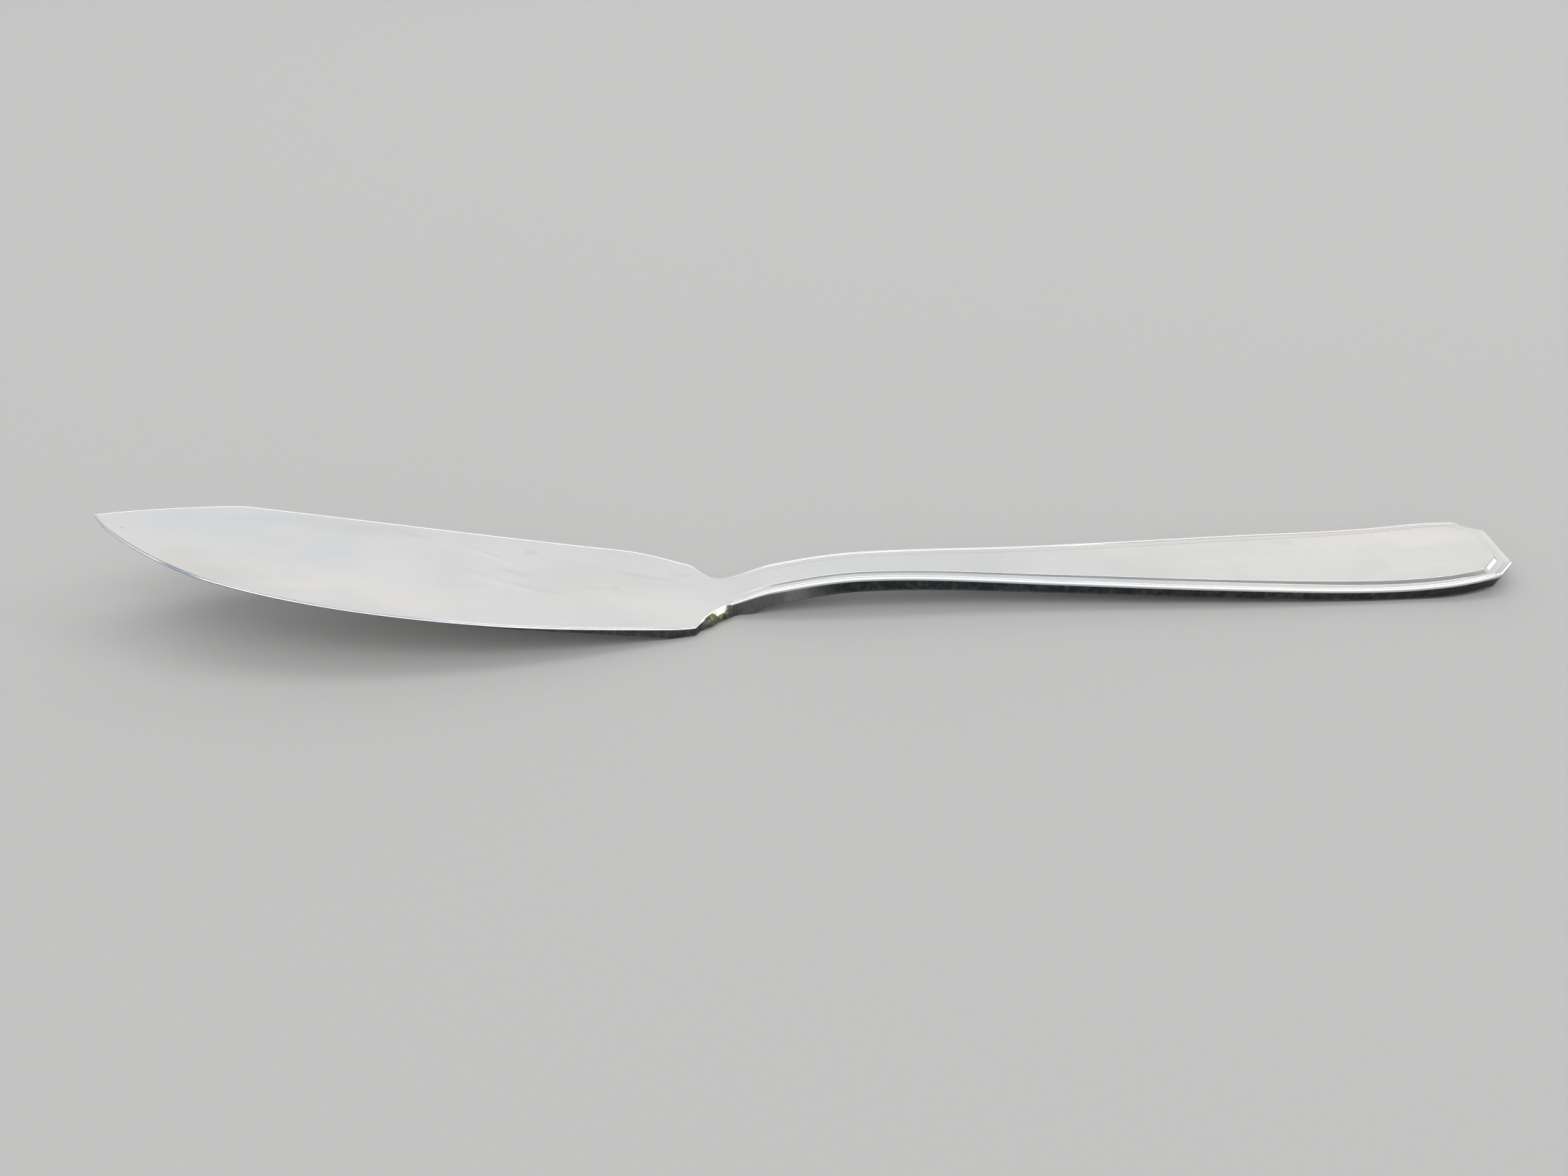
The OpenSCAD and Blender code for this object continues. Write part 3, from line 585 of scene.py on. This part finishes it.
def handleProfile(x):  # inset, height, tarnish with painted shade, and polish of lines from the underside round to the panel
    s, tarnishAndShade, polish = handleSettings, handleSettings["tarnishAndShade"], handleSettings["polish"]
    under, face = underHeight(x), faceHeight(x)
    fade, jointRound = ease(0, s["fade"], x), sideView["jointRound"]
    baseRound = jointRound + (s["base"] - jointRound)*fade
    rimWide = jointRound + (s["rimRound"]*s["rim"] - jointRound)*fade
    rimDeep = jointRound + (s["rimDeep"] - jointRound)*fade
    draft = s["draft"]*ease(s["wideAt"], s["long"], x)
    step = (s["stepDeep"]*fade + s["stepGain"]*ease(*s["deeperAlong"], x)
            + s["endGain"]*ease(s["deeperFrom"], s["wideAt"], x))
    panelAt = (s["border"] + s["borderGain"]*ease(*s["gainAlong"], x)
               - s["borderLoss"]*ease(*s["lossAlong"], x))
    floor = face - step
    unworn = 1 - ease(*s["wornAway"], x)
    sin, cos = quarterTurn(s["turnSteps"])
    lines, add = lineKeeper(x)

    # the rounded base, the side and the rim
    first, last = tarnishAndShade["base"]
    for a, b in zip(sin, cos):
        add(draft + baseRound*(1 - a), under + baseRound*(1 - b), first + (last - first)*a, 0.0)
    for share in s["sideLines"]:
        rise = (floor - rimDeep - under - baseRound)*share
        add(draft*(1 - share), under + baseRound + rise, tarnishAndShade["side"], 0.0)
    for a, b in zip(sin**s["rimShape"], cos**s["rimShape"]):
        dulled, shined = 1 - ease(*s["rimDulls"], a), ease(*s["rimShines"], a)
        add(rimWide*(1 - b), floor - rimDeep*(1 - a), dulled, shined)
    add(s["rim"]*s["rimFlat"], floor, 0.0, 1.0)
    # the thread, which is narrower and shallower where the border fades in
    threadWide, threadDeep = s["thread"]
    threadEnd = s["rim"] + threadWide
    crisp = fade*(1 - s["threadFaint"]*ease(*s["threadFades"], x))
    opened = s["threadStart"] + (1 - s["threadStart"])*fade
    depth = threadDeep*crisp*(s["threadLeft"] + (1 - s["threadLeft"])*unworn)
    for share, dip in zip(threadShares, threadDips):
        at = s["rim"] + threadWide*(0.5 + (share - 0.5)*opened)
        add(at, floor - depth*dip, tarnishAndShade["thread"]*dip*crisp*unworn, 1 - dip)
    add(threadEnd + s["besideThread"], floor, tarnishAndShade["floor"]*fade, polish["besideThread"])
    # the border's floor, its wall and the rounded edge of the panel
    slack = s["endLean"]*ease(*s["leanFrom"], x)*(1 - ease(*s["leanTo"], x))
    foot = panelAt - s["wallLean"]*np.maximum(step, s["wallLeast"]) - slack
    for share in s["floorLines"]:
        add(threadEnd + (foot - threadEnd)*share, floor, tarnishAndShade["floor"]*fade*share, polish["floor"])
    roundWide, roundDeep = s["panelRound"]
    cover = np.minimum(roundDeep, step/2)
    for share, shade in tarnishAndShade["wall"]:
        add(foot + (panelAt - foot)*share, floor + (step - cover)*share, shade*fade*unworn, 0.0)
    for a, b in zip(sin, cos):
        shined = ease(*s["panelShines"], a)
        dulled = tarnishAndShade["panelEdge"]*fade*unworn*(1 - shined)
        add(panelAt + roundWide*(1 - b), face - cover*(1 - a), dulled, shined)
    add(panelAt + roundWide + s["besideEdge"], face, 0.0, polish["panel"])
    return np.stack(lines, -2)


def widened(inset, gain):  # the inner lines' insets grow by gain, the rim's stay as they are
    return inset*(1 + (gain - 1)*ease(*handleSettings["widenFrom"], inset))


def handlePlan(x):  # the profile's lines seen from above, along one side and round its clipped corner
    s = handleSettings
    inset = handleProfile(x)[..., 0]
    straight = np.stack([np.repeat(x[:, None], inset.shape[1], 1), halfWidth(x)[:, None] - inset], -1)

    slopeX, slopeY = s["corner"]
    cornerX, cornerY = s["long"] - slopeX, s["wide"]/2 - s["sideEase"]
    clipLong = math.hypot(slopeX, slopeY)
    sideInset, endInset = (handleProfile(np.array([at]))[0, :, 0] for at in (cornerX, s["long"]))
    clipFirst, clipLast = widened(sideInset, s["clipBorder"]), widened(endInset, s["clipBorder"])
    flatInset = widened(endInset, s["endBorder"])
    firstX = cornerX - sideInset
    for _ in range(30):  # closes in on where the line along the side meets the line along the clip
        firstY = halfWidth(firstX) - sideInset
        firstX = cornerX - (clipFirst*clipLong - (cornerY - firstY)*slopeX)/slopeY
    first = np.stack([firstX, firstY], -1)
    lastY = cornerY - slopeY - (clipLast*clipLong - flatInset*slopeY)/slopeX
    last = np.stack([s["long"] - flatInset, lastY], -1)
    along = (last - first)/np.linalg.norm(last - first, axis=1)[:, None]

    sideRound, endRound, panelRound = s["cornerRound"]
    endRound = (endRound + (panelRound - endRound)*ease(*s["widenFrom"], endInset))[:, None]
    before = first - [sideRound, 0]
    before[:, 1] = halfWidth(before[:, 0]) - sideInset
    turns = []
    for a, b, c in ((before, first, first + along*sideRound),
                    (last - along*endRound, last, last - endRound*[0, 1])):
        for t in np.linspace(0, 1, s["cornerSteps"] + 1):
            turns.append((1 - t)**2*a + 2*(1 - t)*t*b + t*t*c)
    return np.concatenate([straight, np.stack(turns)])


def farSide(near):  # the near side mirrored, with a flatter rim that shines as one white line, and painted shade on its thread and the panel's edge
    s = handleSettings
    rim, rimFlat, thread, panelEdge = (profileLines[key] for key in ("rim", "rimFlat", "thread", "panelEdge"))
    kept = ease(*s["farFrom"], near[..., 0])*(1 - ease(*s["farTo"], near[..., 0]))
    far = near*[1, -1, 1, 1, 1]
    far[:, rim, 2] += (near[:, rimFlat, 2] - near[:, rim, 2])*(1 - s["farRim"])*kept[:, rim]
    # painted shade: the far thread and the far edge of the panel are darkened, the near ones not
    far[:, thread, 3] = np.maximum(far[:, thread, 3], s["farThreadShade"]*threadDips*kept[:, thread])
    far[:, panelEdge, 3] = np.maximum(far[:, panelEdge, 3], s["farEdgeShade"]*kept[:, panelEdge])
    return far


def makeHandle(material):  # each point holds x, y, z, tarnish with painted shade, and polish
    s = handleSettings
    plan = handlePlan(spread(s["stations"]))
    rows, count = plan.shape[:2]
    full = handleProfile(plan[..., 0].ravel()).reshape(rows, count, count, 4)
    own = np.stack([full[:, k, k] for k in range(count)], 1)  # each line at its own places
    near = np.concatenate([plan*[1, -1], own[..., 1:]], -1)
    far = farSide(near)
    rim = s["acrossRim"]
    shares = np.array([rim, *np.linspace(0, 1, s["across"] + 1)[1:-1], 1 - rim])[:, None]
    cross = len(shares)
    end = near[-1] + (far[-1] - near[-1])*shares[..., None]
    end[..., 3:] = near[-1, :, 3:]
    around = np.concatenate([near, end, far[::-1]])
    index = np.arange(len(around)*count).reshape(-1, count)

    points, covers, start = [around.reshape(-1, 5)], [], index.size
    for line, shade in ((count - 1, 0.0), (0, s["tarnishAndShade"]["under"])):  # the panel and the underside
        strip = near[:-1, None, line] + (far[:-1, None, line] - near[:-1, None, line])*shares
        strip[..., 3:] = shade, 0
        points.append(strip.reshape(-1, 5))
        inner = start + np.arange((rows - 1)*cross).reshape(rows - 1, cross)
        start += inner.size
        nearLine, farLine = index[:rows - 1, line], index[::-1][:rows - 1, line]
        grid = np.concatenate([nearLine[:, None], inner, farLine[:, None]], 1)
        covers.append(np.concatenate([grid, index[rows - 1:rows + cross + 1, line][None]]))
    panel, under = covers
    atJoint = np.concatenate([index[0, 1:], panel[0, 1:-1], index[-1, ::-1], under[0, ::-1][1:]])
    faces = np.concatenate([quads(index), quads(panel), quads(under)[:, ::-1]]).tolist() + [atJoint.tolist()]
    points = np.concatenate(points)
    values = {"tarnishAndShade": points[:, 3], "polish": points[:, 4]}
    return meshFrom("handle_body", points[:, :3], faces, values, material)


# Solder in the corner between heel and neck

solderSettings = {
    "from": -3.9, "to": 2.3,
    "fullFrom": -2.2, "fullTo": -0.4,                       # it is full between these and dies away beyond
    "bulge": 1.15, "tail": 0.2, "endFade": 0.12,            # how far it stands out, and how it ends
    "top": 0.97, "tailTop": 0.75, "topFrom": (0.1, 0.6),    # how high it reaches, as a share of the height
    "belly": (0.22, 1.15, 0.75),                            # how far round its foot is, and its shape
    "sunk": 0.16, "inside": 0.5, "foot": 0.015,
    "lumps": ((0.22, 1.3), (0.14, 3.1)), "dents": (0.2, 2.3), "dentsAt": (5, 1, 2),
    "bright": (-0.7, 1.15), "brightFrom": (0.66, 0.86),     # a bright spot near the top of the bead: middle, length, levels
    "olive": (-1.3, 1.25),
    "rings": 90, "levels": 30, "backLevels": (0.95, 0.5, 0.05),
    "look": {
        "brass": (0.34, 0.33, 0.17), "grime": (0.09, 0.10, 0.055), "olive": (0.12, 0.135, 0.12),
        "bright": (0.86, 0.85, 0.80), "brightGrain": (1.6, 3, 0.6), "brightUneven": 0.7,
        "brightLevel": (0.75, 0.95), "grimeSpots": (1.8, 4, 0.7, 0.4, 0.62),
        "pits": (2.8, 0.4), "pitsLevel": (0.0, 0.45), "grit": (6.0, 3), "gritShare": 0.5,
        "rough": {"brass": 0.5, "bright": 0.22, "grime": 0.15}, "bump": (0.6, 0.1*millimetre),
    },
}


def roughSolder(name, look):
    material, paint = newMaterial(name)
    place = paint.inMillimetres()
    scale, smoothness = look["pits"]
    pits = paint.node("ShaderNodeTexVoronoi", {"feature": "SMOOTH_F1"},
                      {"Vector": place, "Scale": scale, "Smoothness": smoothness})
    grime = paint.spots(place, *look["grimeSpots"])
    uneven = look["brightUneven"]*paint.cloud(place, *look["brightGrain"])
    bright = paint.soft(paint.amount("bright") + uneven, *look["brightLevel"])
    brass = paint.mix(grime, look["brass"], look["grime"])
    brass = paint.mix(paint.amount("olive"), look["olive"], brass)
    colour = paint.mix(bright, brass, look["bright"])
    height = paint.soft(pits, *look["pitsLevel"]) + paint.cloud(place, *look["grit"])*look["gritShare"]
    rough = look["rough"]["brass"] - bright*look["rough"]["bright"] + grime*look["rough"]["grime"]
    paint.surface(colour, rough, Metallic=0.9, Normal=paint.bump(*look["bump"], height))
    return material


def besideNeck(x):  # near side of heel and neck, and the way that it faces
    heelBack = bladeCurves("edge")[-1]
    y = np.where(x < 0, np.interp(x, heelBack[:, 0], heelBack[:, 1]), -halfWidth(np.maximum(x, 0)))
    slope = np.gradient(y, x)
    return np.stack([x, y], -1), np.stack([slope, -np.ones_like(x)], -1)/np.hypot(slope, 1)[:, None]


def lumpiness(place):
    s = solderSettings
    lumps = sum(size*noise.noise(place*scale) for size, scale in s["lumps"])
    size, scale = s["dents"]
    return lumps - size*max(0, noise.noise(place*scale + Vector(s["dentsAt"])))


def makeSolder(material):
    s = solderSettings
    x = np.linspace(s["from"], s["to"], s["rings"])
    side, facing = besideNeck(x)
    full = ease(s["from"], s["fullFrom"], x)*(1 - ease(s["fullTo"], s["to"], x))
    tops = faceHeight(x)*(s["tailTop"] + (s["top"] - s["tailTop"])*ease(*s["topFrom"], full))
    passed = (x - s["from"])/(s["to"] - s["from"])
    ends = ease(0, s["endFade"], passed)*(1 - ease(1 - s["endFade"], 1, passed))
    reach = (s["tail"] + (s["bulge"] - s["tail"])*full)*ends
    (brightAt, brightLong), (oliveAt, oliveLong) = s["bright"], s["olive"]
    begun, bend, power = s["belly"]
    points, bright, olive = [], [], []
    for i, at in enumerate(x):
        for level in np.linspace(0, 1, s["levels"]):
            z = s["foot"] + tops[i]*level
            belly = math.sin(math.pi*(begun + (1 - begun)*level)**bend)**power if level < 1 else 0
            out = reach[i]*belly*(1 + lumpiness(Vector((*side[i], z)))) - s["sunk"]
            points.append([*(side[i] + facing[i]*out), z])
            bright.append(ease(*s["brightFrom"], level)*math.exp(-((at - brightAt)/brightLong)**2))
            olive.append(math.exp(-((at - oliveAt)/oliveLong)**2))
        for level in s["backLevels"]:  # its back is hidden in blade and neck
            points.append([*(side[i] - facing[i]*s["inside"]), s["foot"] + tops[i]*level])
            bright.append(0)
            olive.append(0)
    index = np.arange(len(points)).reshape(len(x), -1)
    faces = quads(closedRings(index)).tolist() + [index[0].tolist(), index[-1][::-1].tolist()]
    return meshFrom("solder_fillet", points, faces, {"bright": bright, "olive": olive}, material)


# Pieces

pieces = [  # each with the node that it stands for and that node's slot
    (makeBlade(silverPlate("worn_plate_blade", bladeSettings["look"])), "blade", "silver_plate_blade"),
    (makeHandle(silverPlate("worn_plate_handle", handleSettings["look"])), "handle", "silver_plate_handle"),
    (makeSolder(roughSolder("rough_hard_solder", solderSettings["look"])), "solder_bead", "hard_solder"),
]
for piece, node, slotName in pieces:
    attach(piece, "root")
    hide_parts(node)
    print(piece.name, "made:", len(piece.data.polygons), "faces")


# Floor, light and camera, in metres

studio = {
    "floor": {"colour": (0.55, 0.55, 0.545), "size": 2.84, "low": -0.00002, "rough": 0.9,
              "grain": (900.0, 3, 0.6, 0.3, 0.7), "grainColour": (0.3, 0.3, 0.3), "grainShare": 0.03},
    "room": (0.5, 0.5, 0.5),
    "camera": {"at": (-0.01799, -0.14720, 0.11628), "target": (-0.00605, 0.00116, 0.0),
               "lens": 29.295, "sensor": 36.0, "clip": (0.005, 20.0)},
    "lights": {  # flat soft boxes: where, how turned about x and y, their two sizes, and how bright
        "overheadBack": ((0.0, 0.36, 0.9), (0, 0), (1.6, 0.3), 1.9),
        "overheadMiddle": ((0.0, 0.03, 0.9), (0, 0), (1.6, 0.36), 0.3),
        "overheadFront": ((0.0, -0.3, 0.9), (0, 0), (1.6, 0.3), 1.2),
        "backCard": ((0.0, 1.5, 1.14), (-90, 0), (5.0, 0.78), 0.29),
        "upperCard": ((0.0, 1.49, 1.42), (-90, 0), (5.0, 0.3), 0.12),
        "lowStrip": ((0.0, 1.5, 0.18), (-90, 0), (5.0, 0.26), 1.3),
        "middleStrip": ((0.0, 1.5, 0.45), (-90, 0), (5.0, 0.28), 0.35),
        "sideCard": ((1.5, 0.27, 0.27), (0, 90), (0.44, 0.5), 2.2),
        "cornerCard": ((1.5, -0.1, 1.15), (0, 90), (0.6, 0.6), 2.2),
        "frontCard": ((0.0, -1.4, 2.2), (90, 0), (4.5, 1.1), 0.6),
    },
}


def makeFloor():
    s = studio["floor"]
    half = s["size"]/2
    corners = [(x*half, y*half, s["low"]) for x, y in ((-1, -1), (1, -1), (1, 1), (-1, 1))]
    mesh = bpy.data.meshes.new("floor")
    mesh.from_pydata(corners, [], [(0, 1, 2, 3)])
    floor = placeObject("floor", mesh)
    material, paint = newMaterial("pale_board")
    metres = paint.node("ShaderNodeTexCoord", {}, {}, "Object")
    grain = paint.spots(metres, *s["grain"])
    paint.surface(paint.mix(grain*s["grainShare"], s["colour"], s["grainColour"]), s["rough"])
    mesh.materials.append(material)


def makeLight(name, at, turn, size, radiance):
    data = bpy.data.lights.new(name, "AREA")
    data.shape, (data.size, data.size_y) = "RECTANGLE", size
    data.energy = radiance*math.pi*data.size*data.size_y
    lamp = placeObject(name, data)
    lamp.location, lamp.rotation_euler = at, (math.radians(turn[0]), math.radians(turn[1]), 0)
    lamp.visible_camera = False


def makeWorld():
    world = bpy.data.worlds.new("studio_room")
    bpy.context.scene.world = world
    world.use_nodes = True
    paint = Paint(world.node_tree)
    room = paint.node("ShaderNodeBackground", {}, {"Color": (*studio["room"], 1)})
    paint.node("ShaderNodeOutputWorld", {}, {"Surface": room})


def makeCamera():
    s = studio["camera"]
    data = bpy.data.cameras.new("photo_view")
    data.lens, data.sensor_width = s["lens"], s["sensor"]
    data.clip_start, data.clip_end = s["clip"]
    camera = placeObject("photo_view", data)
    at, target = Vector(s["at"]), Vector(s["target"])
    camera.location = at
    camera.rotation_euler = (target - at).to_track_quat("-Z", "Y").to_euler()
    bpy.context.scene.camera = camera


makeFloor()
makeWorld()
makeCamera()
for name, settings in studio["lights"].items():
    makeLight(name, *settings)
bpy.context.scene.view_settings.view_transform = "Standard"
print("studio ready")
